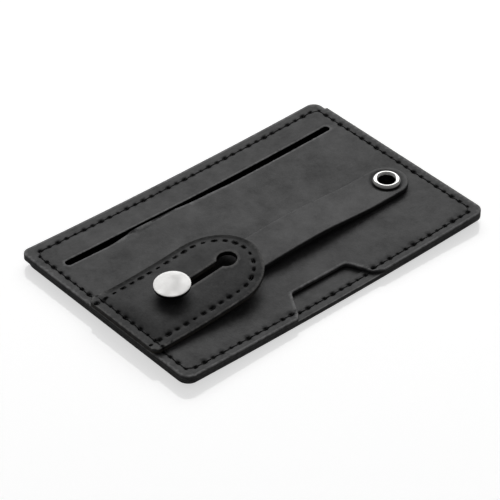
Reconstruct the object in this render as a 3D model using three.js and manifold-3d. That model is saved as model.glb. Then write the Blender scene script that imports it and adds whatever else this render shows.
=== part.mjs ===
// A card holder for the back of a phone, in black imitation leather, with a finger strap.
// Millimetres, +Z up. It lies on its back on z = 0, its length along x and its slit towards +y.
// The strap's stud slides in the keyhole of a sewn tab: slid towards the eyelet, the strap bows up into a loop.
import * as THREE from "three";
import { mergeVertices } from "three/addons/utils/BufferGeometryUtils.js";
import Module from "manifold-3d";

// Panels: outline, and each layer's thickness from the floor up
const panelLength = 98;
const panelWidth = 62;
const panelCorner = 2.8;
const skinCorner = 5.5; // the back skin's far left corner is cut rounder
const cornerNick = 0.6; // the far right corner is punched this much inside the right edge
const nickFromFar = 4.1;
const nickRun = 0.25; // length of the step out to the right edge
const linerThickness = 0.1;
const adhesiveThickness = 0.4;
const skinThickness = 0.6;
const foilThickness = 0.12;
const liningThickness = 0.7;
const frontThickness = 0.9;
const edgeBevel = 0.15;
const adhesiveInset = 5;
const adhesiveCorner = 3;

// Card pocket, between the stitches, and its two openings
const cardLength = 85.6;
const cardClearance = 1.1; // slit length over the card's
const slitWidth = 1.8;
const slitFromFarEdge = 10.8;
const pocketDepth = 0.3;
const pocketMargin = 1.3; // from the stitches to the pocket's wall
const pocketCorner = 1.5;
const notchDepth = 8.8;
const notchFloorHalf = 8.7;
const notchMouthHalf = 12.7;
const notchFlare = 1.5; // how far each side of the mouth opens out again at the edge
const notchFlareDepth = 2.4;
const notchRound = 1.8;

// Stitching
const stitchInset = 2.55;
const stitchInsetFar = 2.9;
const stitchInsetNear = 2.3;
const stitchCorner = 1;
const stitchPitch = 2.7;
const threadWidth = 0.55;
const threadSunk = 0.3; // underside of the thread below the leather
const threadProud = 0.08; // top of a stitch above the leather
const holeDip = 0.18; // top of the thread below the leather where it enters a hole
const threadClearance = 0.17;
const threadFloorGap = 0.1;

// Tab: a U of two layers, sewn in at the left edge, with a keyhole slot; it rises to its free tip
const tabHalfWidth = 12.4;
const tabY = -7.5;
const tabLength = 40.7; // from the left edge to the tip
const tabChamfer = 1.2;
const tabUpperThickness = 0.7;
const tabLiningThickness = 0.55;
const tabGlueGap = 0.05;
const tabHingeInset = 1;
const tabMidRise = 0.45; // control heights above the sewn end, half way and at the tip
const tabTipRise = 3.8;
const tabArch = 1; // how far the middle stands above the two long edges
const tabArchRun = 6; // from the hinge to the full arch
const tabStitchInset = 2.5;
const studTravel = 16.9; // from the stud at rest to the keyhole
const keyholeRadius = 2.5;
const slotWidth = 2.3;
const slotEndGap = 0.4; // from the post to the slot's closed end

// Strap
const strapWidth = 11;
const strapThickness = 1.3;
const strapRestLift = 0.05; // underside above the front panel at the stud, at the crest and at the eyelet
const strapCrestLift = 1.6;
const strapEyeletLift = 0.3;
const strapRiseRun = 5.1; // from the stud to where the strap starts to rise
const strapCrestRun = 16.8; // from the tab's tip to the strap's crest
const strapLandRun = 6.3; // from where the strap is down again to the eyelet
const strapEndMargin = 4.2; // from the stud to the strap's left end

// Stud: a turned button whose post runs in the slot, clenched on a plate under the strap
const studFromLeft = 15.9;
const studTilt = 5; // degrees, leaning back towards the sewn end
const capRadius = 4.55;
const capRim = 0.55;
const capEdge = 0.15;
const capHeight = 2.9; // top of the cap above the tab
const capUnderTaper = 0.7;
const neckTopRadius = 3.1;
const neckRadius = 2.1;
const neckGap = 0.4; // from the neck's shoulder to the tab
const postRadius = 0.95;
const plateRadius = 2.2;
const plateThickness = 0.4;
const plateLift = 0.27; // underside of the plate's middle above the front panel
const plateRecessGap = 0.12;
const boreGap = 0.05;

// Eyelet
const eyeletFromRight = 11.7;
const eyeletRadius = 3.65;
const eyeletHoleRadius = 2.17;
const eyeletWall = 0.3;
const eyeletFlange = 0.3;
const eyeletRollRadius = 3.1;
const eyeletRoll = 0.28;
const eyeletGap = 0.06;

// Fineness
const arcSteps = 6;
const roundSteps = 32;
const archSteps = 16;
const stationsPerStitch = 3;
const straightness = 0.02; // a groove's bends under this angle, in radians, are left out

// Heights above the floor
const adhesiveBottom = linerThickness;
const skinBottom = adhesiveBottom + adhesiveThickness;
const liningBottom = skinBottom + skinThickness;
const frontBottom = liningBottom + liningThickness;
const panelTop = frontBottom + frontThickness;
const tabThickness = tabUpperThickness + tabGlueGap + tabLiningThickness;
const reach = 4 * panelTop + tabTipRise; // cutters run this far past what they cut

// Places in plan
const left = -panelLength / 2;
const right = panelLength / 2;
const near = -panelWidth / 2;
const far = panelWidth / 2;
const slitY = far - slitFromFarEdge;
const studX = left + studFromLeft;
const keyholeX = studX + studTravel;
const eyeletX = right - eyeletFromRight;
const tabHingeX = left + tabHingeInset;
const tabTipX = left + tabLength;
const tabTipCentreX = tabTipX - tabHalfWidth;
const strapRiseX = studX + strapRiseRun;
const strapCrestX = tabTipX + strapCrestRun;
const strapLandX = eyeletX - strapLandRun;
const strapLeftX = studX - strapEndMargin;
const strapRightX = eyeletX + strapWidth / 2;

const wasm = await Module();
wasm.setup();

// A closed geometry as a solid, and a solid as a geometry
function solid(geometry) {
  const bare = geometry.clone();
  bare.deleteAttribute("normal");
  bare.deleteAttribute("uv");
  const merged = mergeVertices(bare, 1e-4);
  const mesh = new wasm.Mesh({
    numProp: 3,
    vertProperties: new Float32Array(merged.attributes.position.array),
    triVerts: new Uint32Array(merged.index.array),
  });
  return new wasm.Manifold(mesh);
}

function geometryOf(made) {
  const mesh = made.getMesh();
  const geometry = new THREE.BufferGeometry();
  geometry.setAttribute("position", new THREE.BufferAttribute(mesh.vertProperties, 3));
  geometry.setIndex(new THREE.BufferAttribute(mesh.triVerts, 1));
  const faceted = geometry.toNonIndexed();
  faceted.computeVertexNormals();
  return faceted;
}

// A smooth step from 0 at `from` to 1 at `to`
function smooth(value, from, to) {
  const t = THREE.MathUtils.clamp((value - from) / (to - from), 0, 1);
  return t * t * (3 - 2 * t);
}

function ramp(value, from, to) {
  return THREE.MathUtils.clamp((value - from) / (to - from), 0, 1);
}

// Outline from corners [x, y, radius], each rounded by a true arc, or sharp where the radius is 0
function roundedOutline(corners) {
  const outline = new THREE.Shape();
  corners.forEach(([x, y, radius], i) => {
    const corner = new THREE.Vector2(x, y);
    const [bx, by] = corners[(i + corners.length - 1) % corners.length];
    const [nx, ny] = corners[(i + 1) % corners.length];
    const back = new THREE.Vector2(bx, by).sub(corner).normalize();
    const ahead = new THREE.Vector2(nx, ny).sub(corner).normalize();
    const half = Math.acos(THREE.MathUtils.clamp(back.dot(ahead), -1, 1)) / 2;
    const run = radius / Math.tan(half);
    const start = corner.clone().addScaledVector(back, run);
    const centre = back.clone().add(ahead).normalize();
    centre.multiplyScalar(radius / Math.sin(half)).add(corner);
    const end = corner.clone().addScaledVector(ahead, run);
    if (i === 0) outline.moveTo(start.x, start.y);
    else outline.lineTo(start.x, start.y);
    if (radius === 0) return;
    const from = Math.atan2(start.y - centre.y, start.x - centre.x);
    const to = Math.atan2(end.y - centre.y, end.x - centre.x);
    const clockwise = back.x * ahead.y - back.y * ahead.x > 0;
    outline.absarc(centre.x, centre.y, radius, from, to, clockwise);
  });
  outline.closePath();
  return outline;
}

function roundedBox(x0, y0, x1, y1, radius) {
  return roundedOutline([
    [x0, y0, radius],
    [x1, y0, radius],
    [x1, y1, radius],
    [x0, y1, radius],
  ]);
}

// A flat piece between two heights, with its edges softened by a bevel
function plate(outline, bottom, top, bevel = 0) {
  const geometry = new THREE.ExtrudeGeometry(outline, {
    depth: top - bottom - 2 * bevel,
    bevelEnabled: bevel > 0,
    bevelThickness: bevel,
    bevelSize: bevel,
    bevelOffset: -bevel,
    bevelSegments: 1,
    curveSegments: arcSteps,
  });
  return solid(geometry.translate(0, 0, bottom + bevel));
}

// A body turned about z from a profile of [radius, height] that starts and ends on the axis or closes
function turned(profile) {
  const points = profile.map(([radius, height]) => new THREE.Vector2(radius, height));
  return solid(new THREE.LatheGeometry(points, roundSteps).rotateX(Math.PI / 2));
}

function cylinder(radius, bottom, top) {
  return turned([
    [0, bottom],
    [radius, bottom],
    [radius, top],
    [0, top],
  ]);
}

// The stack's outline, with the punched far right corner and, on the front, the thumb notch
function stackCorners(nearEdge, farLeftCorner) {
  return [
    [left, near, panelCorner],
    ...nearEdge,
    [right, near, panelCorner],
    [right, far - nickFromFar - nickRun, 0],
    [right - cornerNick, far - nickFromFar, 0],
    [right - cornerNick, far, panelCorner],
    [left, far, farLeftCorner],
  ];
}

function notchCorners() {
  const mouthY = near + notchFlareDepth;
  const floorY = near + notchDepth;
  const flareHalf = notchMouthHalf + notchFlare;
  return [
    [-flareHalf, near, notchRound / 3],
    [-notchMouthHalf, mouthY, notchRound / 2],
    [-notchFloorHalf, floorY, notchRound],
    [notchFloorHalf, floorY, notchRound],
    [notchMouthHalf, mouthY, notchRound / 2],
    [flareHalf, near, notchRound / 3],
  ];
}

// Half width of the notch where the stitches cross it
function notchHalfAtStitches() {
  const along = (stitchInsetNear - notchFlareDepth) / (notchDepth - notchFlareDepth);
  return THREE.MathUtils.lerp(notchMouthHalf, notchFloorHalf, along);
}

function slitOutline() {
  const half = (cardLength + cardClearance) / 2;
  return roundedBox(-half, slitY - slitWidth / 2, half, slitY + slitWidth / 2, 0.499 * slitWidth);
}

// Tab: height of its top above the front panel, along its length and across its arch
function tabEdgeHeight(x) {
  const t = Math.max(0, (x - tabHingeX) / (tabTipX - tabHingeX));
  return tabThickness + 2 * t * (1 - t) * tabMidRise + t * t * tabTipRise;
}

function tabTopHeight(x, y) {
  const across = THREE.MathUtils.clamp(Math.abs(y - tabY) / tabHalfWidth, 0, 1);
  const arch = tabArch * (1 - across * across) * smooth(x, tabHingeX, tabHingeX + tabArchRun);
  return tabEdgeHeight(x) + arch;
}

function tabOutline(leftX) {
  const outline = new THREE.Shape();
  outline.moveTo(leftX, tabY - tabHalfWidth + tabChamfer);
  outline.lineTo(leftX + tabChamfer, tabY - tabHalfWidth);
  outline.lineTo(tabTipCentreX, tabY - tabHalfWidth);
  outline.absarc(tabTipCentreX, tabY, tabHalfWidth, -Math.PI / 2, Math.PI / 2, false);
  outline.lineTo(leftX + tabChamfer, tabY + tabHalfWidth);
  outline.lineTo(leftX, tabY + tabHalfWidth - tabChamfer);
  outline.closePath();
  return outline;
}

function keyholeOutline() {
  const half = slotWidth / 2;
  const closedX = studX - postRadius - slotEndGap + half;
  const meet = Math.asin(half / keyholeRadius);
  const outline = new THREE.Shape();
  outline.moveTo(closedX, tabY - half);
  outline.absarc(keyholeX, tabY, keyholeRadius, -Math.PI + meet, Math.PI - meet, false);
  outline.absarc(closedX, tabY, half, Math.PI / 2, 1.5 * Math.PI, false);
  outline.closePath();
  return outline;
}

// A curved sheet over the tab's area, between two distances below its top surface
function tabSheet(depthTop, depthBottom) {
  const x0 = left - 1;
  const x1 = tabTipX + 1;
  const columns = archSteps;
  const rows = 8;
  const points = [];
  for (const depth of [depthTop, depthBottom]) {
    for (let i = 0; i <= columns; i++) {
      for (let j = 0; j <= rows; j++) {
        const x = THREE.MathUtils.lerp(x0, x1, i / columns);
        const y = tabY + (tabHalfWidth + 1) * ((2 * j) / rows - 1);
        points.push(x, y, panelTop + tabTopHeight(x, y) - depth);
      }
    }
  }
  return solid(gridSlab(points, columns, rows));
}

// A slab whose top and bottom are grids of (columns + 1) x (rows + 1) points, the top's first
function gridSlab(points, columns, rows) {
  const layer = (columns + 1) * (rows + 1);
  const faces = [];
  const quad = (a, b, c, d) => faces.push(a, b, c, a, c, d);
  const at = (i, j) => i * (rows + 1) + j;
  for (let i = 0; i < columns; i++) {
    for (let j = 0; j < rows; j++) {
      quad(at(i, j), at(i + 1, j), at(i + 1, j + 1), at(i, j + 1));
      quad(layer + at(i, j), layer + at(i, j + 1), layer + at(i + 1, j + 1), layer + at(i + 1, j));
    }
  }
  const wall = (a, b) => quad(a, b, layer + b, layer + a);
  for (let i = 0; i < columns; i++) {
    wall(at(i + 1, 0), at(i, 0));
    wall(at(i, rows), at(i + 1, rows));
  }
  for (let j = 0; j < rows; j++) {
    wall(at(0, j), at(0, j + 1));
    wall(at(columns, j + 1), at(columns, j));
  }
  const geometry = new THREE.BufferGeometry();
  geometry.setAttribute("position", new THREE.Float32BufferAttribute(points, 3));
  geometry.setIndex(faces);
  return geometry;
}

// A body that follows a path in plan: each station gives x, y, bottom, top and half width
function sweptBody(stations, closed) {
  const count = stations.length;
  const points = [];
  stations.forEach((here, i) => {
    const before = stations[closed ? (i + count - 1) % count : Math.max(0, i - 1)];
    const after = stations[closed ? (i + 1) % count : Math.min(count - 1, i + 1)];
    const along = new THREE.Vector2(after.x - before.x, after.y - before.y).normalize();
    const sideX = -along.y * here.half;
    const sideY = along.x * here.half;
    points.push(here.x + sideX, here.y + sideY, here.bottom, here.x - sideX, here.y - sideY, here.bottom);
    points.push(here.x - sideX, here.y - sideY, here.top, here.x + sideX, here.y + sideY, here.top);
  });
  const faces = [];
  const quad = (a, b, c, d) => faces.push(a, b, c, a, c, d);
  const spans = closed ? count : count - 1;
  for (let i = 0; i < spans; i++) {
    const a = 4 * i;
    const b = 4 * ((i + 1) % count);
    for (let k = 0; k < 4; k++) quad(a + k, b + k, b + ((k + 1) % 4), a + ((k + 1) % 4));
  }
  if (!closed) {
    const end = 4 * (count - 1);
    quad(0, 1, 2, 3);
    quad(end + 3, end + 2, end + 1, end);
  }
  const geometry = new THREE.BufferGeometry();
  geometry.setAttribute("position", new THREE.Float32BufferAttribute(points, 3));
  geometry.setIndex(faces);
  return solid(geometry);
}

// Thread along a path: a row of humps, and the groove that holds it. `height` gives the leather's surface
// at a place, and `up` is 1 on a top face and -1 on an underside.
function stations(path, closed, height, up, shape) {
  const stitches = Math.round(path.getLength() / stitchPitch);
  const steps = stitches * stationsPerStitch;
  const places = path.getSpacedPoints(steps);
  if (closed) places.pop();
  return places.map((place, i) => {
    const { low, high, half } = shape(i % stationsPerStitch === 0);
    const surface = height(place.x, place.y);
    const ends = [surface + up * low, surface + up * high];
    return { x: place.x, y: place.y, half, bottom: Math.min(...ends), top: Math.max(...ends) };
  });
}

// The stations at which a path turns or changes its height
function turnsOf(all) {
  const kept = [];
  all.forEach((here, i) => {
    const before = kept.length ? kept[kept.length - 1] : all[all.length - 1];
    const after = all[(i + 1) % all.length];
    const place = ({ x, y, bottom }) => new THREE.Vector3(x, y, bottom);
    const run = place(here).sub(place(before)).normalize();
    const next = place(after).sub(place(here)).normalize();
    const isEnd = i === 0 || i === all.length - 1;
    if (isEnd || run.distanceTo(next) > straightness) kept.push(here);
  });
  return kept;
}

function thread(path, closed, height, up = 1) {
  const shape = (inHole) => ({
    low: -threadSunk,
    high: inHole ? -holeDip : threadProud,
    half: (threadWidth / 2) * (inHole ? 0.75 : 1),
  });
  return sweptBody(stations(path, closed, height, up, shape), closed);
}

function groove(path, closed, height, up = 1) {
  const shape = () => ({
    low: -threadSunk - threadFloorGap,
    high: 2 * threadSunk + edgeBevel,
    half: threadWidth / 2 + threadClearance,
  });
  return sweptBody(turnsOf(stations(path, closed, height, up, shape)), closed);
}

// The edge stitches lie on the front panel, climb over the tab's sewn end and drop to the lining in the notch
function sewnHeight(x, y) {
  const half = stitchPitch / 2;
  const onTab = x < strapLeftX ? ramp(Math.abs(y - tabY), tabHalfWidth + half, tabHalfWidth - half) : 0;
  const notchHalf = notchHalfAtStitches();
  const inNotch = y < 0 ? ramp(Math.abs(x), notchHalf + half, notchHalf - half) : 0;
  return panelTop + onTab * tabTopHeight(x, y) - inNotch * frontThickness;
}

function edgePath() {
  return roundedBox(
    left + stitchInset,
    near + stitchInsetNear,
    right - stitchInset,
    far - stitchInsetFar,
    stitchCorner,
  );
}

function tabPath() {
  const radius = tabHalfWidth - tabStitchInset;
  const startX = left + stitchInset + threadWidth + 2 * threadClearance;
  const path = new THREE.Path();
  path.moveTo(startX, tabY - radius);
  path.lineTo(tabTipCentreX, tabY - radius);
  path.absarc(tabTipCentreX, tabY, radius, -Math.PI / 2, Math.PI / 2, false);
  path.lineTo(startX, tabY + radius);
  return path;
}

// Strap: height of its underside above the front panel, and its body between two round ends
function strapLift(x) {
  const rising = THREE.MathUtils.lerp(strapRestLift, strapCrestLift, smooth(x, strapRiseX, strapCrestX));
  const falling = THREE.MathUtils.lerp(strapCrestLift, strapEyeletLift, smooth(x, strapCrestX, strapLandX));
  return x < strapCrestX ? rising : falling;
}

function strapSheet() {
  const profile = new THREE.Shape();
  const xs = [];
  for (let i = 0; i <= archSteps; i++) {
    xs.push(THREE.MathUtils.lerp(strapLeftX - 1, strapRightX + 1, i / archSteps));
  }
  profile.moveTo(xs[0], panelTop + strapLift(xs[0]));
  xs.slice(1).forEach((x) => profile.lineTo(x, panelTop + strapLift(x)));
  xs.reverse().forEach((x) => profile.lineTo(x, panelTop + strapLift(x) + strapThickness));
  profile.closePath();
  const geometry = new THREE.ExtrudeGeometry(profile, { depth: 2 * strapWidth, bevelEnabled: false });
  return solid(geometry.rotateX(Math.PI / 2).translate(0, tabY + strapWidth, 0));
}

function strapOutline() {
  const half = strapWidth / 2;
  const outline = new THREE.Shape();
  const leftX = strapLeftX + half;
  outline.moveTo(leftX, tabY - half);
  outline.absarc(eyeletX, tabY, half, -Math.PI / 2, Math.PI / 2, false);
  outline.absarc(leftX, tabY, half, Math.PI / 2, 1.5 * Math.PI, false);
  outline.closePath();
  return outline;
}

// Stud: its axis passes through the tab's top at studX and leans back by studTilt
const studFoot = panelTop + tabTopHeight(studX, tabY);
const plateBottom = panelTop + plateLift - studFoot;
const plateTop = plateBottom + plateThickness;

function inStudFrame(made) {
  return made.rotate(0, -studTilt, 0).translate(studX, tabY, studFoot);
}

function studButton() {
  const rimBottom = capHeight - capRim;
  return turned([
    [0, plateBottom],
    [postRadius, plateBottom],
    [postRadius, neckGap],
    [neckRadius, neckGap],
    [neckTopRadius, rimBottom - capUnderTaper],
    [capRadius - capEdge, rimBottom],
    [capRadius, rimBottom + capEdge],
    [capRadius, capHeight - capEdge],
    [capRadius - capEdge, capHeight],
    [0, capHeight],
  ]);
}

function studPlate() {
  return turned([
    [postRadius + boreGap, plateBottom],
    [plateRadius - boreGap, plateBottom],
    [plateRadius, plateBottom + boreGap],
    [plateRadius, plateTop - boreGap],
    [plateRadius - boreGap, plateTop],
    [postRadius + boreGap, plateTop],
    [postRadius + boreGap, plateBottom],
  ]);
}

function studClearance() {
  const bore = cylinder(postRadius + 2 * boreGap, plateBottom - reach, 0);
  const recess = cylinder(plateRadius + plateRecessGap, plateBottom - reach, plateTop + plateRecessGap);
  return inStudFrame(bore.add(recess));
}

// Eyelet: domed flange on the strap, tube through strap and front panel, rolled over in the pocket's roof
function eyeletBody() {
  const seat = panelTop + strapEyeletLift + strapThickness;
  const tube = eyeletHoleRadius + eyeletWall;
  const crown = (eyeletHoleRadius + eyeletRadius) / 2;
  return turned([
    [eyeletHoleRadius, frontBottom + eyeletRoll / 2],
    [tube, frontBottom],
    [eyeletRollRadius - eyeletRoll / 2, frontBottom],
    [eyeletRollRadius, frontBottom + eyeletRoll / 2],
    [eyeletRollRadius - eyeletRoll / 2, frontBottom + eyeletRoll],
    [tube, frontBottom + eyeletRoll],
    [tube, seat],
    [eyeletRadius, seat],
    [eyeletRadius, seat + eyeletFlange / 3],
    [crown + eyeletFlange, seat + eyeletFlange],
    [crown - eyeletFlange, seat + eyeletFlange],
    [eyeletHoleRadius + eyeletFlange / 3, seat + eyeletFlange / 2],
    [eyeletHoleRadius, seat - eyeletFlange / 2],
    [eyeletHoleRadius, frontBottom + eyeletRoll / 2],
  ]).translate(eyeletX, tabY, 0);
}

function eyeletClearance() {
  const tube = eyeletHoleRadius + eyeletWall + eyeletGap;
  const bore = cylinder(tube, frontBottom - reach, panelTop + reach);
  const rollRoom = cylinder(eyeletRollRadius + eyeletGap, frontBottom - reach, frontBottom + eyeletRoll + eyeletGap);
  return { bore: bore.translate(eyeletX, tabY, 0), rollRoom: rollRoom.translate(eyeletX, tabY, 0) };
}

// Finishes
const leather = new THREE.MeshStandardMaterial({ color: 0x2f2f31, roughness: 0.72, metalness: 0 });
const liningLeather = new THREE.MeshStandardMaterial({ color: 0x232324, roughness: 0.8, metalness: 0 });
const sewingThread = new THREE.MeshStandardMaterial({ color: 0x0d0d0e, roughness: 0.65, metalness: 0 });
const brushedSteel = new THREE.MeshStandardMaterial({ color: 0xd8d6d3, roughness: 0.35, metalness: 1 });
const nickel = new THREE.MeshStandardMaterial({ color: 0xd0cfcd, roughness: 0.12, metalness: 1 });
const foil = new THREE.MeshStandardMaterial({ color: 0xb9bcc0, roughness: 0.4, metalness: 0.9 });
const foamTape = new THREE.MeshStandardMaterial({ color: 0xdedcd6, roughness: 0.9, metalness: 0 });
const linerPaper = new THREE.MeshStandardMaterial({ color: 0xf1eee4, roughness: 0.6, metalness: 0 });

const holder = new THREE.Group();

function addPiece(name, made, material) {
  const mesh = new THREE.Mesh(geometryOf(made), material);
  mesh.name = name;
  holder.add(mesh);
}

// Adhesive pad and its release liner, on the back
const padOutline = roundedBox(
  left + adhesiveInset,
  near + adhesiveInset,
  right - adhesiveInset,
  far - adhesiveInset,
  adhesiveCorner,
);
addPiece("release_liner", plate(padOutline, 0, linerThickness), linerPaper);
addPiece("adhesive_pad", plate(padOutline, adhesiveBottom, skinBottom), foamTape);

// Back skin with the shielding foil sealed under the lining, and the lining with the card pocket
const pocketOutline = roundedBox(
  left + stitchInset + pocketMargin,
  near + stitchInsetNear + pocketMargin,
  right - stitchInset - pocketMargin,
  far - stitchInsetFar - pocketMargin,
  pocketCorner,
);
const edge = edgePath();
const edgeGroove = groove(edge, true, sewnHeight);
const backGroove = groove(edge, true, () => skinBottom, -1);
const skinOutline = roundedOutline(stackCorners([], skinCorner));
const liningOutline = roundedOutline(stackCorners([], panelCorner));
const foilBottom = liningBottom - foilThickness;
addPiece(
  "back_skin",
  plate(skinOutline, skinBottom, liningBottom, edgeBevel)
    .subtract(backGroove)
    .subtract(plate(pocketOutline, foilBottom, liningBottom + reach)),
  leather,
);
const foilOutline = roundedBox(
  left + stitchInset + 2 * pocketMargin,
  near + stitchInsetNear + 2 * pocketMargin,
  right - stitchInset - 2 * pocketMargin,
  far - stitchInsetFar - 2 * pocketMargin,
  pocketCorner,
);
addPiece("shield_foil", plate(foilOutline, foilBottom, liningBottom), foil);
addPiece(
  "pocket_lining",
  plate(liningOutline, liningBottom, frontBottom, edgeBevel)
    .subtract(plate(pocketOutline, frontBottom - pocketDepth, frontBottom + reach))
    .subtract(edgeGroove),
  liningLeather,
);

// Front panel: slit, thumb notch, stitching groove, and the eyelet's hole
const eyeletRoom = eyeletClearance();
const frontOutline = roundedOutline(stackCorners(notchCorners(), panelCorner));
frontOutline.holes.push(slitOutline());
addPiece(
  "front_panel",
  plate(frontOutline, frontBottom, panelTop, edgeBevel)
    .subtract(edgeGroove)
    .subtract(eyeletRoom.bore)
    .subtract(eyeletRoom.rollRoom),
  leather,
);

// Tab
const seam = tabPath();
const tabSurface = (x, y) => panelTop + tabTopHeight(x, y);
const tabCut = plate(tabOutline(left), 0, reach).subtract(plate(keyholeOutline(), 0, reach));
addPiece(
  "tab_upper",
  tabSheet(0, tabUpperThickness)
    .intersect(tabCut)
    .subtract(edgeGroove)
    .subtract(groove(seam, false, tabSurface)),
  leather,
);
addPiece(
  "tab_lining",
  tabSheet(tabUpperThickness + tabGlueGap, tabThickness).intersect(tabCut).subtract(edgeGroove),
  liningLeather,
);

// Threads
addPiece("edge_thread", thread(edge, true, sewnHeight), sewingThread);
addPiece("back_thread", thread(edge, true, () => skinBottom, -1), sewingThread);
addPiece("tab_thread", thread(seam, false, tabSurface), sewingThread);

// Strap with its stud and eyelet
addPiece(
  "strap",
  strapSheet()
    .intersect(plate(strapOutline(), 0, reach))
    .subtract(studClearance())
    .subtract(eyeletRoom.bore),
  leather,
);
addPiece("stud_button", inStudFrame(studButton()), brushedSteel);
addPiece("stud_plate", inStudFrame(studPlate()), nickel);
addPiece("eyelet", eyeletBody(), nickel);

export default holder;
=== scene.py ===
"""A card holder for the back of a phone, dressed for rendering.
Sizes are in millimetres in the CAD frame and become metres when a mesh is made. Every piece is built
here and stands for one CAD node, or for half of the strap. The whole holder bows a little, as the soft
one in the photograph does."""

import math

import bpy
import bmesh
import numpy as np
from mathutils import Matrix, Vector
from mathutils.geometry import delaunay_2d_cdt
from mathutils.kdtree import KDTree


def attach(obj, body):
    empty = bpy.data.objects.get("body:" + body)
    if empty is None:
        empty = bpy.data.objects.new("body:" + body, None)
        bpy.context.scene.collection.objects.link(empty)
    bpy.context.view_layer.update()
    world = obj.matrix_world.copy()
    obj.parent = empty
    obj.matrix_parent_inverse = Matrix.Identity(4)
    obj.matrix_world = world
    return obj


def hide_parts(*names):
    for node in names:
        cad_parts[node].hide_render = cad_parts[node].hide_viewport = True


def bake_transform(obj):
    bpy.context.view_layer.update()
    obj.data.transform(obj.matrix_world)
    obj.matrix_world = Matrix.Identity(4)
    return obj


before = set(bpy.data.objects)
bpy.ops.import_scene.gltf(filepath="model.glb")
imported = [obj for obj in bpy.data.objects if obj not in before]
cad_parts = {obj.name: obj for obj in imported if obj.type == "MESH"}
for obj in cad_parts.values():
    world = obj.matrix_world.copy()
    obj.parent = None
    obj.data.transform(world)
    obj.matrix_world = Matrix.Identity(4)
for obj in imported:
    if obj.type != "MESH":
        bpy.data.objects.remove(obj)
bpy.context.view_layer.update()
MM = 0.001

# Sizes of the CAD part
LEFT, RIGHT, NEAR, FAR = -49.0, 49.0, -31.0, 31.0
SKIN_BOTTOM, LINING_BOTTOM, FRONT_BOTTOM, PANEL_TOP = 0.5, 1.1, 1.8, 2.7
PAD_INSET, PAD_BOTTOM = 5.0, 0.1
POCKET_DEPTH = 0.3
SLIT_Y, SLIT_HALF, SLIT_WIDTH = 20.2, 43.35, 1.8
STITCH_PITCH = 2.7
TAB_Y, TAB_HALF, TAB_TIP_CENTRE, TAB_CHAMFER = -7.5, 12.4, -20.7, 1.2
TAB_THICK, TAB_UPPER, TAB_GAP = 1.3, 0.7, 0.05
TAB_HINGE, TAB_MID_RISE, TAB_TIP_RISE, TAB_ARCH, TAB_ARCH_RUN = -48.0, 0.45, 3.8, 1.0, 6.0
KEYHOLE_X, KEYHOLE_R, SLOT_WIDTH, SLOT_END_X = -16.2, 2.5, 2.3, -33.3
STRAP_WIDTH, STRAP_THICK, STRAP_LEFT = 11.0, 1.3, -37.3
STRAP_CREST_X, STRAP_LAND_X, STRAP_RISE_X = 8.5, 31.0, -28.0
STRAP_LOW, STRAP_RISE, STRAP_CREST, STRAP_FALL, STRAP_SEAT = 0.05, 1.55, 1.6, 1.3, 0.3
STUD_X, STUD_TILT, CAP_R, CAP_HEIGHT = -33.1, 5.0, 4.55, 2.9
EYELET_X, EYELET_R, EYELET_HOLE = 37.3, 3.65, 2.17

# Sizes seen in the photograph and kept to the scene: the outline's corners and the step at the far right
NEAR_R, FAR_RIGHT_R, FAR_LEFT_R, SKIN_FAR_LEFT_R = 2.9, 2.8, 2.3, 5.2
STEP_IN, STEP_START, STEP_END = 0.6, 4.35, 4.1
# The panel's valley left of the middle: its near lip dips and its far lip rises
VALLEY_X, VALLEY_WIDTH, NEAR_LIP_DIP, FAR_LIP_RISE = -20, 11, 0.28, 0.12
# The strap's thin left end, and how deep the eyelet presses into its right one
STRAP_END_THICK, STRAP_THICKENS, PRESSED_DEPTH = 0.55, 0.75, 0.28
# Holes in the leather for the eyelet's tube and for the stud's neck
TUBE_HOLE, NECK_HOLE = 2.6, 2.45
# Seams: distances from the outline's edges, the start and inset of the tab's seam, and where the edge
# seam leaves the panel for the tab and for the lining
SEAM_SIDE, SEAM_NEAR, SEAM_FAR, SEAM_CORNER = 2.55, 2.3, 2.9, 1
TAB_SEAM_LEFT, TAB_SEAM_INSET = -48.2, 2.5
ON_TAB_X, IN_NOTCH_Y, IN_NOTCH_HALF, NOTCH_SEWN_HALF = -44, -26, 14, 12.35
# The card pocket's walls as (outside, inside), and the foil
POCKET_SIDE, POCKET_NEAR, POCKET_FAR = (45.15, 44.6), (-27.4, -26.9), (26.8, 26.3)
FOIL_HALF, FOIL_NEAR, FOIL_FAR, FOIL_CORNER = 43.8, -26.1, 25.5, 1.5

# The holder bows: every height gains this much per square millimetre from the middle
BOW = 3.579e-4
# Edges that turn less than this many degrees are shaded smooth
SMOOTH_ANGLE = 50
# Faces: a grid row's height and how far the grid keeps from the rim, both in steps, and how far a face's
# own points keep from it, in millimetres
GRID_ROW, GRID_CLEAR, OWN_CLEAR = 0.87, 0.45, 0.12
# Wear and painted highlight on a wall, where the rounding above it has 1
WALL_WEAR_AND_HIGHLIGHT = 0.12


def smooth(value, start, end):
    t = min(1.0, max(0.0, (value - start) / (end - start)))
    return t * t * (3 - 2 * t)


# Camera, solved from the photograph's outline and stitches, with z measured from the front panel's top
CAMERA_DEGREES = (-42.44, 38.501, 1.097)
CAMERA_AWAY, CAMERA_RIGHT, CAMERA_UP = 609.5, -1.446, -4.197
FOCAL_PIXELS, SENSOR, PICTURE_PIXELS = 2481.6, 36, 500


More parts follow.
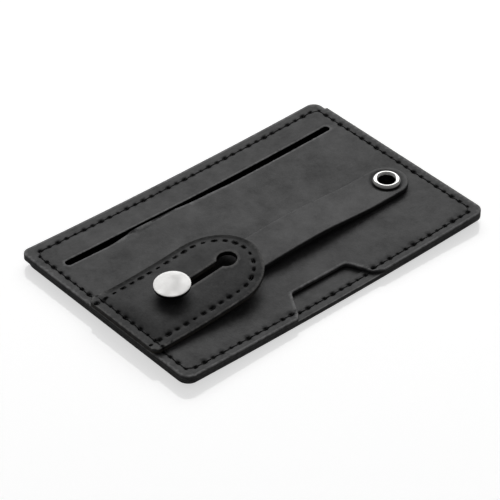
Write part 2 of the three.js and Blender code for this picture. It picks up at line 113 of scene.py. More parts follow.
def add_camera():
    az, el, roll = (math.radians(v) for v in CAMERA_DEGREES)
    back = Vector((math.sin(az) * math.cos(el), -math.cos(az) * math.cos(el), math.sin(el)))
    level = Vector((math.cos(az), math.sin(az), 0))
    upright = back.cross(level)
    right = math.cos(roll) * level + math.sin(roll) * upright
    up = math.cos(roll) * upright - math.sin(roll) * level
    place = back * CAMERA_AWAY + right * CAMERA_RIGHT + up * CAMERA_UP + Vector((0, 0, PANEL_TOP))
    data = bpy.data.cameras.new("camera")
    data.lens = FOCAL_PIXELS * SENSOR / PICTURE_PIXELS
    data.clip_start, data.clip_end = 0.02, 20
    camera = bpy.data.objects.new("camera", data)
    camera.matrix_world = Matrix.Translation(place * MM) @ Matrix((right, up, back)).transposed().to_4x4()
    bpy.context.scene.collection.objects.link(camera)
    bpy.context.scene.camera = camera


add_camera()


# Plan outlines: lists of 2D points, counter-clockwise round material and clockwise round holes
def spaced(loop, step):
    """The loop with points added, so that none are further apart than the step."""
    points = []
    for i, p in enumerate(loop):
        q = loop[(i + 1) % len(loop)]
        count = max(1, math.ceil((q - p).length / step))
        points += [p.lerp(q, k / count) for k in range(count)]
    return points


def arc(x, y, radius, start, end, step=0.35):
    count = max(3, math.ceil(abs(end - start) * radius / step))
    angles = [start + (end - start) * k / count for k in range(count + 1)]
    return [Vector((x + radius * math.cos(a), y + radius * math.sin(a))) for a in angles]


def rounded(corners, step):
    """A loop through (x, y, radius) corners."""
    loop = []
    for i, (x, y, radius) in enumerate(corners):
        corner = Vector((x, y))
        if not radius:
            loop.append(corner)
            continue
        back = (Vector(corners[i - 1][:2]) - corner).normalized()
        ahead = (Vector(corners[(i + 1) % len(corners)][:2]) - corner).normalized()
        half = back.angle(ahead) / 2
        centre = corner + (back + ahead).normalized() * (radius / math.sin(half))
        start = corner + back * (radius / math.tan(half)) - centre
        end = corner + ahead * (radius / math.tan(half)) - centre
        a = math.atan2(start.y, start.x)
        turn = (math.atan2(end.y, end.x) - a + math.pi) % (2 * math.pi) - math.pi
        loop += arc(*centre, radius, a, a + turn)
    return spaced(loop, step)


def box_loop(x0, y0, x1, y1, radius, step):
    return rounded([(x0, y0, radius), (x1, y0, radius), (x1, y1, radius), (x0, y1, radius)], step)


def circle(x, y, radius, hole=False, step=0.3):
    loop = arc(x, y, radius, 0, 2 * math.pi, step)[:-1]
    return loop[::-1] if hole else loop


def inset(loop, distance):
    """The loop moved into the material."""
    out = []
    for i, p in enumerate(loop):
        a = (p - loop[i - 1]).normalized()
        b = (loop[(i + 1) % len(loop)] - p).normalized()
        na, nb = Vector((-a.y, a.x)), Vector((-b.y, b.x))
        out.append(p + (na + nb) * (distance / max(0.4, 1 + na.dot(nb))))
    return out


def inside(points, loops):
    """Which points lie in the material, by counting crossings."""
    x, y = points[:, 0], points[:, 1]
    odd = np.zeros(len(points), bool)
    for loop in loops:
        for i, a in enumerate(loop):
            b = loop[i - 1]
            if a.y == b.y:
                continue
            crosses = (a.y > y) != (b.y > y)
            odd ^= crosses & (x < (b.x - a.x) * (y - a.y) / (b.y - a.y) + a.x)
    return odd


def tree_of(points):
    tree = KDTree(len(points))
    for i, p in enumerate(points):
        tree.insert((p[0], p[1], 0), i)
    tree.balance()
    return tree


# A piece from vertices and faces in millimetres, with values per vertex for worn edges with painted highlight
# and for painted shade
def piece(name, verts, faces, edge, dark, body, material, bow):
    mesh = bpy.data.meshes.new(name)
    lift = (lambda x: BOW * x * x) if bow else (lambda x: 0.0)
    mesh.from_pydata([(x * MM, y * MM, (z + lift(x)) * MM) for x, y, z in verts], [], faces)
    mesh.attributes.new("edge", "FLOAT", "POINT").data.foreach_set("value", edge)
    mesh.attributes.new("dark", "FLOAT", "POINT").data.foreach_set("value", dark)
    mesh.materials.append(material)
    made = bpy.data.objects.new(name, mesh)
    bpy.context.scene.collection.objects.link(made)
    bm = bmesh.new()
    bm.from_mesh(mesh)
    bmesh.ops.recalc_face_normals(bm, faces=bm.faces)
    for f in bm.faces:
        f.smooth = True
    for e in bm.edges:
        e.smooth = not (e.is_manifold and e.calc_face_angle(0) > math.radians(SMOOTH_ANGLE))
    bm.to_mesh(mesh)
    bm.free()
    if body:
        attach(made, body)
    return made


def rings(radius, steps):
    """(inset, drop) from the wall's end to the flat, along a quarter circle."""
    turns = [math.pi / 2 * k / steps for k in range(steps + 1)]
    return [(radius * (1 - math.cos(t)), radius * (1 - math.sin(t))) for t in turns]


def grid_points(rim, fine):
    """Points of a triangular grid over the rim's box."""
    xs, ys = [p.x for p in rim], [p.y for p in rim]
    points, row, y = [], 0, min(ys) + fine / 2
    while y < max(ys):
        x = min(xs) + (fine / 2 if row % 2 else fine)
        while x < max(xs):
            points.append((x, y))
            x += fine
        y += fine * GRID_ROW
        row += 1
    return points


def inner_points(rim, loops, own, fine):
    """A face's own points, with a grid that keeps clear of them and of the rim."""
    near_rim = tree_of(rim)
    kept = grid_points(rim, fine)
    if own:
        near_own = tree_of(own)
        kept = [p for p in kept if near_own.find((*p, 0))[2] > GRID_CLEAR * fine]
    kept = [p for p in kept if near_rim.find((*p, 0))[2] > GRID_CLEAR * fine]
    kept += [p for p in own if near_rim.find((*p, 0))[2] > OWN_CLEAR]
    if kept:
        flags = inside(np.array(kept), loops)
        kept = [p for p, flag in zip(kept, flags) if flag]
    return kept


def slab(loops, top, bottom, round_top, round_bottom, step, extra=()):
    """Vertices, faces and edge values of a closed body over loops, between two height functions."""
    verts, faces, edge = [], [], []
    profile = [(i, d, False) for i, d in reversed(rings(round_bottom, 2))]
    profile += [(i, d, True) for i, d in rings(round_top, 3)]
    layers = []
    for distance, drop, upper in profile:
        layer = []
        for loop in loops:
            start = len(verts)
            for p in inset(loop, distance):
                z = top(p.x, p.y) - drop if upper else bottom(p.x, p.y) + drop
                verts.append((p.x, p.y, z))
                edge.append(1.0 if drop < 0.8 * round_top and upper else WALL_WEAR_AND_HIGHLIGHT)
            layer.append((start, len(loop)))
        layers.append(layer)
    for low, high in zip(layers, layers[1:]):
        for (a, count), (b, _) in zip(low, high):
            for i in range(count):
                j = (i + 1) % count
                faces.append((a + i, a + j, b + j, b + i))
    for layer, height, flip in ((layers[-1], top, False), (layers[0], bottom, True)):
        border = [k for start, count in layer for k in range(start, start + count)]
        rim = [Vector(verts[k][:2]) for k in border]
        edges, at, inner_loops = [], 0, []
        for _, count in layer:
            edges += [(at + i, at + (i + 1) % count) for i in range(count)]
            inner_loops.append(rim[at : at + count])
            at += count
        own = [] if flip else [tuple(p) for p in extra]
        kept = inner_points(rim, inner_loops, own, 2 * step if flip else step)
        points = rim + [Vector(p) for p in kept]
        out, _, triangles, origin, _, _ = delaunay_2d_cdt(points, edges, [], 0, 1e-6)
        centres = np.array([sum((out[k] for k in t), Vector((0, 0))) / 3 for t in triangles])
        flags = inside(centres, inner_loops)
        index = []
        for p, sources in zip(out, origin):
            if sources and sources[0] < len(border):
                index.append(border[sources[0]])
            else:
                index.append(len(verts))
                verts.append((p.x, p.y, height(p.x, p.y)))
                edge.append(0.0)
        for t, flag in zip(triangles, flags):
            if flag:
                ids = [index[k] for k in t]
                faces.append(tuple(reversed(ids)) if flip else tuple(ids))
    return verts, faces, edge


def turned(profile, segments=96):
    """Vertices and faces turned about z; the (radius, height) profile is closed or ends on the axis."""
    verts, faces = [], []
    on_axis = [r < 1e-6 for r, _ in profile]
    starts = []
    for (r, z), axis in zip(profile, on_axis):
        starts.append(len(verts))
        if axis:
            verts.append((0, 0, z))
        else:
            turns = [2 * math.pi * k / segments for k in range(segments)]
            verts += [(r * math.cos(t), r * math.sin(t), z) for t in turns]
    spans = list(zip(range(len(profile)), range(1, len(profile))))
    if not on_axis[0]:
        spans.append((len(profile) - 1, 0))
    for a, b in spans:
        for k in range(segments):
            m = (k + 1) % segments
            low = [starts[a]] if on_axis[a] else [starts[a] + k, starts[a] + m]
            high = [starts[b]] if on_axis[b] else [starts[b] + m, starts[b] + k]
            faces.append(tuple(low + high))
    return verts, faces


# Seams: how far their dents reach, the furrow's width and its points, and a value far outside all holes
SEAM_REACH, FURROW_WIDTH, FURROW_STEP, NO_HOLE = 2.5, 0.55, 0.45, 9.0
FURROW_ROWS = (-1.1, -0.45, 0, 0.45, 1.1)
# Rings of points round a hole: size, and turn in parts of the distance between two points
HOLE_RINGS = ((0.5, 0), (0.85, 0.5), (1.15, 0), (1.7, 0.5))
RING_POINTS, LINE_POINTS = 10, 1500


class Seam:
    """Evenly spaced holes along a path, each an oval dent, joined by a shallow furrow."""

    def __init__(self, path, closed, long, wide, depth, furrow):
        self.long, self.wide, self.depth, self.furrow = long, wide, depth, furrow
        points = path + path[:1] if closed else path
        runs = [0.0]
        for a, b in zip(points, points[1:]):
            runs.append(runs[-1] + (b - a).length)
        self.runs, self.points = runs, points
        self.count = round(runs[-1] / STITCH_PITCH)
        self.pitch = runs[-1] / self.count
        self.holes = [self.at(k * self.pitch) for k in range(self.count + (0 if closed else 1))]
        self.tree = tree_of([p for p, _ in self.holes])
        line = [self.at(runs[-1] * k / LINE_POINTS)[0] for k in range(LINE_POINTS + 1)]
        self.line_tree = tree_of(line)

    def at(self, run):
        """Point and direction at a distance along the path."""
        k = int(np.searchsorted(self.runs, run, side="right")) - 1
        k = min(max(k, 0), len(self.points) - 2)
        a, b = self.points[k], self.points[k + 1]
        length = self.runs[k + 1] - self.runs[k]
        return a.lerp(b, (run - self.runs[k]) / length), (b - a).normalized()

    def from_hole(self, x, y):
        """Distance from the middle of the nearest hole, 1 at its rim."""
        _, k, off = self.tree.find((x, y, 0))
        if off > SEAM_REACH:
            return NO_HOLE
        hole, along = self.holes[k]
        d = Vector((x, y)) - hole
        # The holes differ, from 0.8 to 1.2 times their size
        size = 0.8 + 0.1 * (k * 7 % 5)
        lengthwise = d.dot(along) / (size * self.long)
        crosswise = (d.x * along.y - d.y * along.x) / (size * self.wide)
        return math.hypot(lengthwise, crosswise)

    def dip(self, x, y):
        """How far the seam draws the leather down."""
        _, _, off = self.line_tree.find((x, y, 0))
        if off > SEAM_REACH:
            return 0.0
        furrow = self.furrow * math.exp(-((off / FURROW_WIDTH) ** 2))
        return furrow + self.depth * (1 - smooth(self.from_hole(x, y), 0.55, 1.15))

    def shade(self, x, y):
        """Painted shade: 1 in a hole and 0 outside it."""
        return 1 - smooth(self.from_hole(x, y), 0.75, 1.25)

    def extra(self):
        """Points that a sheet needs to show the dents and the furrow."""
        points = []
        for hole, along in self.holes:
            across = Vector((-along.y, along.x))
            points.append(hole)
            for size, shift in HOLE_RINGS:
                for k in range(RING_POINTS):
                    t = 2 * math.pi * (k + shift) / RING_POINTS
                    u, v = size * self.long * math.cos(t), size * self.wide * math.sin(t)
                    points.append(hole + along * u + across * v)
        steps = round(self.runs[-1] / FURROW_STEP)
        for k in range(steps):
            p, along = self.at(self.runs[-1] * k / steps)
            across = Vector((-along.y, along.x))
            if (p - self.holes[self.tree.find((p.x, p.y, 0))[1]][0]).length < 1.8 * self.long:
                continue
            points += [p + across * s for s in FURROW_ROWS]
        return points


def stitches(seam, height, radius, proud, sunk, up=1):
    """Vertices and faces of the seam's thread: a two-ply strand from each hole to the next."""
    verts, faces = [], []
    sides, sections = 8, 10
    for k in range(seam.count):
        a, _ = seam.holes[k]
        b, _ = seam.holes[(k + 1) % len(seam.holes)]
        along = (b - a).normalized()
        across = Vector((-along.y, along.x))
        start = len(verts)
        for s in range(sections + 1):
            t = s / sections
            p = a.lerp(b, t)
            rise = smooth(min(t, 1 - t), 0.0, 0.2)
            z = height(p.x, p.y) + up * (proud * rise - sunk * (1 - rise))
            for q in range(sides):
                turn = 2 * math.pi * q / sides
                r = radius * (1 + 0.16 * math.cos(2 * turn - 9 * t)) * (0.8 + 0.2 * rise)
                side = across * (r * math.cos(turn))
                verts.append((p.x + side.x, p.y + side.y, z + r * math.sin(turn)))
        for s in range(sections):
            for q in range(sides):
                n = (q + 1) % sides
                i = start + s * sides
                faces.append((i + q, i + n, i + sides + n, i + sides + q))
        faces.append(tuple(start + q for q in reversed(range(sides))))
        faces.append(tuple(start + sections * sides + q for q in range(sides)))
    return verts, faces


# Materials
def grey(value):
    return (value, value, value)


# Painted shade in hollows and shaded places: what leather's tone and sheen, and metal's tone, are mixed with
PAINTED_SHADE_TONE, PAINTED_SHADE_SHEEN, METAL_PAINTED_SHADE = grey(0.002), grey(0.02), grey(0.03)


def material(name, color, roughness, metallic=0.0, specular=0.5):
    made = bpy.data.materials.new(name)
    made.use_nodes = True
    shader = made.node_tree.nodes["Principled BSDF"]
    shader.inputs["Metallic"].default_value = metallic
    shader.inputs["Roughness"].default_value = roughness
    shader.inputs["Specular IOR Level"].default_value = specular
    shader.inputs["Base Color"].default_value = (*color, 1)
    made.diffuse_color = (*color, 1)
    return made, made.node_tree, shader


def node(tree, kind, **inputs):
    made = tree.nodes.new(kind)
    for key, value in inputs.items():
        socket = made.inputs[key.replace("_", " ")]
        if isinstance(value, bpy.types.NodeSocket):
            tree.links.new(value, socket)
        else:
            socket.default_value = value
    return made


def noise(tree, scale, detail, roughness, stretch=(1, 1, 1)):
    place = node(tree, "ShaderNodeTexCoord").outputs["Object"]
    place = node(tree, "ShaderNodeMapping", Vector=place, Scale=stretch).outputs["Vector"]
    made = node(tree, "ShaderNodeTexNoise", Vector=place, Scale=scale, Detail=detail, Roughness=roughness)
    return made.outputs["Fac"]


def vertex_value(tree, name):
    made = node(tree, "ShaderNodeAttribute")
    made.attribute_name = name
    return made.outputs["Fac"]


def ramp(tree, factor, *stops):
    made = node(tree, "ShaderNodeValToRGB", Fac=factor)
    elements = made.color_ramp.elements
    while len(elements) < len(stops):
        elements.new(0.5)
    for element, (place, value) in zip(elements, stops):
        element.position = place
        element.color = (*(value if isinstance(value, tuple) else grey(value)), 1)
    return made.outputs["Color"]


def mix(tree, factor, a, b):
    made = tree.nodes.new("ShaderNodeMix")
    made.data_type = "RGBA"
    for key, value in (("Factor_Float", factor), ("A_Color", a), ("B_Color", b)):
        socket = next(s for s in made.inputs if s.identifier == key)
        if isinstance(value, bpy.types.NodeSocket):
            tree.links.new(value, socket)
        else:
            socket.default_value = value if key == "Factor_Float" else (*value, 1)
    return next(s for s in made.outputs if s.identifier == "Result_Color")


def bump(tree, shader, height, strength, distance, below=None):
    made = node(tree, "ShaderNodeBump", Strength=strength, Distance=distance, Height=height)
    if below:
        tree.links.new(below, made.inputs["Normal"])
    tree.links.new(made.outputs["Normal"], shader.inputs["Normal"])
    return made.outputs["Normal"]


def leather(name, dark, light, worn_and_highlit, roughness, shine=1.0):
    """Leather between two tones, paler by the "edge" values (wear and painted highlight) and blacker by the
    "dark" ones (painted shade).
    """
    made, tree, shader = material(name, light, roughness)
    cloud = noise(tree, scale=160, detail=6, roughness=0.7)
    mottle = noise(tree, scale=900, detail=3, roughness=0.7)
    grain = noise(tree, scale=3200, detail=3, roughness=0.65)
    broad = ramp(tree, cloud, (0.35, dark), (0.68, light))
    small = ramp(tree, mottle, (0.3, dark), (0.7, light))
    tone = mix(tree, 0.35, broad, small)
    # Wear and painted highlight: the "edge" values lighten the rounded edges towards the paler edge tone
    wear_and_highlight = mix(tree, vertex_value(tree, "edge"), grey(0), ramp(tree, mottle, (0.35, 0.25), (0.7, 1.0)))
    # Painted shade: the "dark" values blacken the tone and dull the sheen
    painted_shade = vertex_value(tree, "dark")
    base = mix(tree, painted_shade, mix(tree, wear_and_highlight, tone, worn_and_highlit), PAINTED_SHADE_TONE)
    tree.links.new(base, shader.inputs["Base Color"])
    low, high = 0.2 * shine, 0.8 * shine
    broad = ramp(tree, cloud, (0.33, low), (0.67, high))
    small = ramp(tree, mottle, (0.3, low), (0.7, high))
    sheen = mix(tree, painted_shade, mix(tree, 0.5, broad, small), PAINTED_SHADE_SHEEN)
    tree.links.new(sheen, shader.inputs["Specular IOR Level"])
    rough = ramp(tree, mottle, (0.25, roughness - 0.07), (0.75, roughness + 0.09))
    tree.links.new(rough, shader.inputs["Roughness"])
    place = node(tree, "ShaderNodeTexCoord").outputs["Object"]
    pebble = node(tree, "ShaderNodeTexVoronoi", Vector=place, Scale=1500).outputs["Distance"]
    first = bump(tree, shader, pebble, strength=0.25, distance=0.00006)
    bump(tree, shader, grain, strength=0.35, distance=0.00005, below=first)
    return made


def thread_finish():
    made, tree, shader = material("thread", roughness=0.6, specular=0.35, color=(0.006, 0.006, 0.0065))
    fuzz = noise(tree, scale=4000, detail=3, roughness=0.6)
    tone = ramp(tree, fuzz, (0.3, (0.003, 0.003, 0.0033)), (0.7, (0.012, 0.012, 0.013)))
    tree.links.new(tone, shader.inputs["Base Color"])
    bump(tree, shader, fuzz, strength=0.5, distance=0.00004)
    return made


def metal(name, color, roughness, stretch, strength):
    made, tree, shader = material(name, color, roughness, metallic=1.0)
    lines = noise(tree, scale=2500, detail=3, roughness=0.6, stretch=stretch)
    soft = noise(tree, scale=300, detail=2, roughness=0.5)
    darker = tuple(0.93 * c for c in color)
    tone = ramp(tree, lines, (0.3, darker), (0.7, color))
    # Painted shade: the "dark" values blacken the metal
    tone = mix(tree, vertex_value(tree, "dark"), tone, METAL_PAINTED_SHADE)
    tree.links.new(tone, shader.inputs["Base Color"])
    rough = ramp(tree, soft, (0.3, roughness * 0.85), (0.7, roughness * 1.2))
    tree.links.new(rough, shader.inputs["Roughness"])
    bump(tree, shader, lines, strength, distance=0.00003)
    return made


def plain(name, dark, light, roughness, scale, strength):
    made, tree, shader = material(name, light, roughness)
    spots = noise(tree, scale, detail=4, roughness=0.6)
    tree.links.new(ramp(tree, spots, (0.3, dark), (0.7, light)), shader.inputs["Base Color"])
    bump(tree, shader, spots, strength, distance=0.00008)
    return made


LEATHER = leather("leather", (0.023, 0.023, 0.0235), (0.04, 0.04, 0.0405), (0.3, 0.3, 0.301), 0.52)
# The strap's leather is set lighter and shinier, and the tab's darker and less shiny: painted light and
# painted shade on copies of one leather
STRAP_LEATHER = leather(
    "strap_leather", (0.026, 0.026, 0.0265), (0.042, 0.042, 0.0425), (0.09, 0.09, 0.0905), 0.5, 1.08
)
TAB_LEATHER = leather(
    "tab_leather", (0.019, 0.019, 0.0195), (0.031, 0.031, 0.0315), (0.2, 0.197, 0.19), 0.54, 0.84
)
LINING = leather("lining_leather", (0.028, 0.025, 0.02), (0.06, 0.052, 0.042), (0.09, 0.08, 0.062), 0.62)
THREAD = thread_finish()
STEEL = metal("stud_steel", (0.66, 0.655, 0.645), 0.42, (1, 12, 1), 0.12)
NICKEL = metal("nickel", (0.74, 0.735, 0.72), 0.1, (1, 1, 1), 0.04)
FOIL = metal("foil", (0.7, 0.71, 0.72), 0.35, (1, 1, 1), 0.3)
FOAM = plain("foam_tape", (0.62, 0.6, 0.56), (0.74, 0.72, 0.68), 0.85, 1800, 0.6)
LINER = plain("liner", (0.78, 0.76, 0.69), (0.86, 0.84, 0.78), 0.5, 400, 0.15)


# Outline of the stack, with the step near its far right corner and, on the front, the thumb notch
def stack(near_edge=(), far_left=FAR_LEFT_R):
    corners = [
        (LEFT, NEAR, NEAR_R),
        *near_edge,
        (RIGHT, NEAR, NEAR_R),
        (RIGHT, FAR - STEP_START, 0),
        (RIGHT - STEP_IN, FAR - STEP_END, 0),
        (RIGHT - STEP_IN, FAR, FAR_RIGHT_R),
        (LEFT, FAR, far_left),
    ]
    return rounded(corners, 0.8)


# Corners of the thumb notch: x, y and radius
NOTCH = [
    (-14.3, NEAR, 0.5),
    (-12.9, NEAR + 1.5, 0.9),
    (-8.9, NEAR + 8.3, 1.2),
    (8.7, NEAR + 8.1, 1.9),
    (11.5, NEAR + 1.7, 1.1),
    (14.2, NEAR, 0.5),
]


# The slit's near lip sags towards its far lip, most of all left of the middle: pairs of x and gap
SLIT_GAPS = [(-45, 1.8), (-32, 1.8), (-21, 0.6), (-11, 0.65), (0, 1.3), (10, 1.75), (45, 1.75)]


def slit_gap(x):
    for (x0, w0), (x1, w1) in zip(SLIT_GAPS, SLIT_GAPS[1:]):
        if x <= x1:
            return w0 + (w1 - w0) * smooth(x, x0, x1)
    return SLIT_GAPS[-1][1]


def slit_loop():
    end = SLIT_HALF - SLIT_WIDTH / 2
    far_y = SLIT_Y + SLIT_WIDTH / 2
    parts = 110
    xs = [-end + 2 * end * k / parts for k in range(parts + 1)]
    far_lip = [Vector((x, far_y)) for x in xs]
    near_lip = [Vector((x, far_y - slit_gap(x))) for x in xs]
    right_half = slit_gap(end) / 2
    loop = far_lip + arc(end, far_y - right_half, right_half, math.pi / 2, -math.pi / 2)[1:-1]
    return loop + near_lip[::-1] + arc(-end, SLIT_Y, SLIT_WIDTH / 2, 1.5 * math.pi, math.pi / 2)[1:-1]


# Seams
EDGE_PATH = box_loop(
    LEFT + SEAM_SIDE, NEAR + SEAM_NEAR, RIGHT - SEAM_SIDE, FAR - SEAM_FAR, SEAM_CORNER, step=0.5
)
EDGE_SEAM = Seam(EDGE_PATH, closed=True, long=0.6, wide=0.4, depth=0.62, furrow=0.13)
BACK_SEAM = Seam(EDGE_PATH, closed=True, long=0.45, wide=0.3, depth=0.3, furrow=0.08)
tab_seam_r = TAB_HALF - TAB_SEAM_INSET
tab_seam_path = [
    Vector((TAB_SEAM_LEFT, TAB_Y - tab_seam_r)),
    *arc(TAB_TIP_CENTRE, TAB_Y, tab_seam_r, -math.pi / 2, math.pi / 2),
    Vector((TAB_SEAM_LEFT, TAB_Y + tab_seam_r)),
]
TAB_SEAM = Seam(tab_seam_path, closed=False, long=0.72, wide=0.38, depth=0.62, furrow=0.08)


# Heights
def panel_height(x, y):
    z = PANEL_TOP - EDGE_SEAM.dip(x, y)
    valley = math.exp(-(((x - VALLEY_X) / VALLEY_WIDTH) ** 2))
    if y < SLIT_Y:
        z -= NEAR_LIP_DIP * valley * smooth(y, SLIT_Y - 7, SLIT_Y - 0.8)
    else:
        z += FAR_LIP_RISE * valley * smooth(y, SLIT_Y + 5, SLIT_Y + 0.8)
    return z


def tab_edge_height(x):
    t = max(0.0, (x - TAB_HINGE) / (TAB_TIP_CENTRE + TAB_HALF - TAB_HINGE))
    return TAB_THICK + 2 * t * (1 - t) * TAB_MID_RISE + t * t * TAB_TIP_RISE


def tab_height(x, y):
    across = min(1.0, abs(y - TAB_Y) / TAB_HALF)
    arch = TAB_ARCH * (1 - across * across) * smooth(x, TAB_HINGE, TAB_HINGE + TAB_ARCH_RUN)
    return PANEL_TOP + tab_edge_height(x) + arch


def tab_band(x, y):
    """1 at the tab's far edge and 0 inside its stitches."""
    out = math.hypot(max(0.0, x - TAB_TIP_CENTRE), y - TAB_Y)
    return smooth(out, TAB_HALF - 2.4, TAB_HALF - 0.6) * smooth(y, TAB_Y - 9, TAB_Y + 3) * smooth(x, -46, -42)


def tab_top(x, y):
    """The upper layer's top, with both seams' dents and the rolled far band."""
    z = tab_height(x, y) - TAB_SEAM.dip(x, y) - 0.3 * tab_band(x, y)
    on_row = x < ON_TAB_X and abs(y - TAB_Y) < TAB_HALF - 1.2
    return z - (EDGE_SEAM.dip(x, y) if on_row else 0.0)


def tab_middle(x, y):
    return tab_height(x, y) - TAB_UPPER


def sewn_height(x, y):
    """The edge seam's height: the panel's, the tab's at its left end, and the lining's in the notch."""
    half = STITCH_PITCH / 2
    on_tab = (TAB_HALF + half - abs(y - TAB_Y)) / STITCH_PITCH if x < ON_TAB_X else 0.0
    in_notch = (NOTCH_SEWN_HALF + half - abs(x)) / STITCH_PITCH if y < IN_NOTCH_Y else 0.0
    on_tab, in_notch = (min(1.0, max(0.0, share)) for share in (on_tab, in_notch))
    return PANEL_TOP + on_tab * (tab_height(x, y) - PANEL_TOP) - in_notch * (PANEL_TOP - FRONT_BOTTOM)


def strap_lift(x):
    """How far the strap's underside stands off the panel."""
    if x < STRAP_CREST_X:
        return STRAP_LOW + STRAP_RISE * smooth(x, STRAP_RISE_X, STRAP_CREST_X)
    return STRAP_CREST - STRAP_FALL * smooth(x, STRAP_CREST_X, STRAP_LAND_X)


# Body: back skin, foil, lining with its pocket, and the front panel
def add(name, made, material, body="holder", node_name=None, bow=True, shade=None):
    verts, faces = made[:2]
    edge = made[2] if len(made) > 2 else [0.0] * len(verts)
    # Painted shade per vertex, from the shade function
    dark = [shade(*v) for v in verts] if shade else [0.0] * len(verts)
    done = piece(name, verts, faces, edge, dark, body, material, bow)
    if node_name:
        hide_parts(node_name)
    return done


def flat(z):
    return lambda x, y: z


def skin_bottom(x, y):
    return SKIN_BOTTOM + BACK_SEAM.dip(x, y)


pad = box_loop(
    LEFT + PAD_INSET, NEAR + PAD_INSET, RIGHT - PAD_INSET, FAR - PAD_INSET, radius=3, step=1.5
)
liner = slab([pad], flat(PAD_BOTTOM), flat(0), round_top=0.03, round_bottom=0.03, step=3)
add("liner_sheet", liner, LINER, node_name="release_liner")
foam = slab([pad], flat(SKIN_BOTTOM), flat(PAD_BOTTOM), round_top=0.05, round_bottom=0.05, step=3)
add("foam_pad", foam, FOAM, node_name="adhesive_pad")
skin_loop = stack(far_left=SKIN_FAR_LEFT_R)
skin = slab([skin_loop], flat(LINING_BOTTOM), skin_bottom, round_top=0.03, round_bottom=0.16, step=0.9)
add("back_leather", skin, LEATHER, node_name="back_skin")
foil_loop = box_loop(-FOIL_HALF, FOIL_NEAR, FOIL_HALF, FOIL_FAR, FOIL_CORNER, step=2)
foil_top, foil_bottom = flat(LINING_BOTTOM - 0.01), flat(LINING_BOTTOM - 0.11)
foil = slab([foil_loop], foil_top, foil_bottom, round_top=0.02, round_bottom=0.02, step=3)
add("foil_sheet", foil, FOIL, node_name="shield_foil")


def in_pocket(x, y):
    """1 on the pocket's floor and 0 outside its walls."""
    return min(smooth(abs(x), *POCKET_SIDE), smooth(y, *POCKET_NEAR), smooth(y, *POCKET_FAR))


def seam_in_notch(x, y):
    return y < IN_NOTCH_Y and abs(x) < IN_NOTCH_HALF


def lining_top(x, y):
    z = FRONT_BOTTOM - POCKET_DEPTH * in_pocket(x, y)
    return z - (EDGE_SEAM.dip(x, y) if seam_in_notch(x, y) else 0.0)


def lining_shade(x, y, z):
    """Painted shade in the seam's holes, and painted shadow in the pocket's mouth under the front panel's
    rim.
    """
    return max(EDGE_SEAM.shade(x, y), smooth(y, -23.4, -22.2) * in_pocket(x, y))


def front_shade(x, y, z):
    """Painted shade in the seam's holes and on the slit's walls, and a little where the panel bends near the
    slit.
    """
    if abs(y - SLIT_Y) < 1.3 and abs(x) < SLIT_HALF + 0.3 and z < panel_height(x, y) - 0.12:
        return 1.0
    bent = math.exp(-(((x + 25) / 9) ** 2) - ((y - 15) / 4) ** 2)
    return max(EDGE_SEAM.shade(x, y), 0.16 * bent)


def keyhole_shade(x, y, z):
    """Painted shade on the walls of the keyhole's round end."""
    in_keyhole = math.hypot(x - KEYHOLE_X, y - TAB_Y) < KEYHOLE_R + 0.3
    return 0.85 if in_keyhole and z < tab_height(x, y) - 0.18 else 0.0


def tab_shade(x, y, z):
    """Painted shade in both seams' holes, on the far band that faces away from the light, and in the keyhole.
    """
    holes = max(TAB_SEAM.shade(x, y), EDGE_SEAM.shade(x, y) if x < ON_TAB_X else 0.0)
    return max(holes, 0.8 * tab_band(x, y), keyhole_shade(x, y, z))


seam_extra = EDGE_SEAM.extra()
notch_extra = [p for p in seam_extra if seam_in_notch(p.x, p.y)]
lining = slab(
    [stack()],
    lining_top,
    flat(LINING_BOTTOM + 0.01),
    round_top=0.03,
    round_bottom=0.03,
    step=0.9,
    extra=notch_extra,
)
add("lining", lining, LEATHER, node_name="pocket_lining", shade=lining_shade)
front = slab(
    [stack(NOTCH), slit_loop(), circle(EYELET_X, TAB_Y, TUBE_HOLE, hole=True)],
    panel_height,
    flat(FRONT_BOTTOM + 0.01),
    round_top=0.28,
    round_bottom=0.03,
    step=0.95,
    extra=seam_extra,
)
add("front_leather", front, LEATHER, node_name="front_panel", shade=front_shade)


# Tab: two layers with the keyhole slot
def tab_loop(shrink=0.0):
    half, chamfer = TAB_HALF - shrink, TAB_CHAMFER
    loop = [
        Vector((LEFT + shrink, TAB_Y - half + chamfer)),
        Vector((LEFT + shrink + chamfer, TAB_Y - half)),
        *arc(TAB_TIP_CENTRE, TAB_Y, half, -math.pi / 2, math.pi / 2, 0.5),
        Vector((LEFT + shrink + chamfer, TAB_Y + half)),
        Vector((LEFT + shrink, TAB_Y + half - chamfer)),
    ]
    return spaced(loop, 0.6)


def keyhole_loop(grow=0.0):
    half, radius = SLOT_WIDTH / 2 + grow, KEYHOLE_R + grow
    meet = math.asin(half / radius)
    loop = arc(KEYHOLE_X, TAB_Y, radius, math.pi - meet, -math.pi + meet, 0.25)
    loop += arc(SLOT_END_X, TAB_Y, half, -math.pi / 2, -1.5 * math.pi, 0.25)
    return spaced(loop, 0.5)


tab_extra = [p for p in seam_extra if p.x < ON_TAB_X and abs(p.y - TAB_Y) < 13]
tab = slab(
    [tab_loop(), keyhole_loop()],
    tab_top,
    tab_middle,
    round_top=0.2,
    round_bottom=0.06,
    step=0.8,
    extra=TAB_SEAM.extra() + tab_extra,
)
add("tab_leather", tab, TAB_LEATHER, node_name="tab_upper", shade=tab_shade)
backing = slab(
    [tab_loop(0.05), keyhole_loop(0.05)],
    lambda x, y: tab_middle(x, y) - TAB_GAP,
    lambda x, y: tab_height(x, y) - TAB_THICK + 0.01,
    round_top=0.06,
    round_bottom=0.1,
    step=1.0,
)
add("tab_backing", backing, LINING, node_name="tab_lining", shade=keyhole_shade)

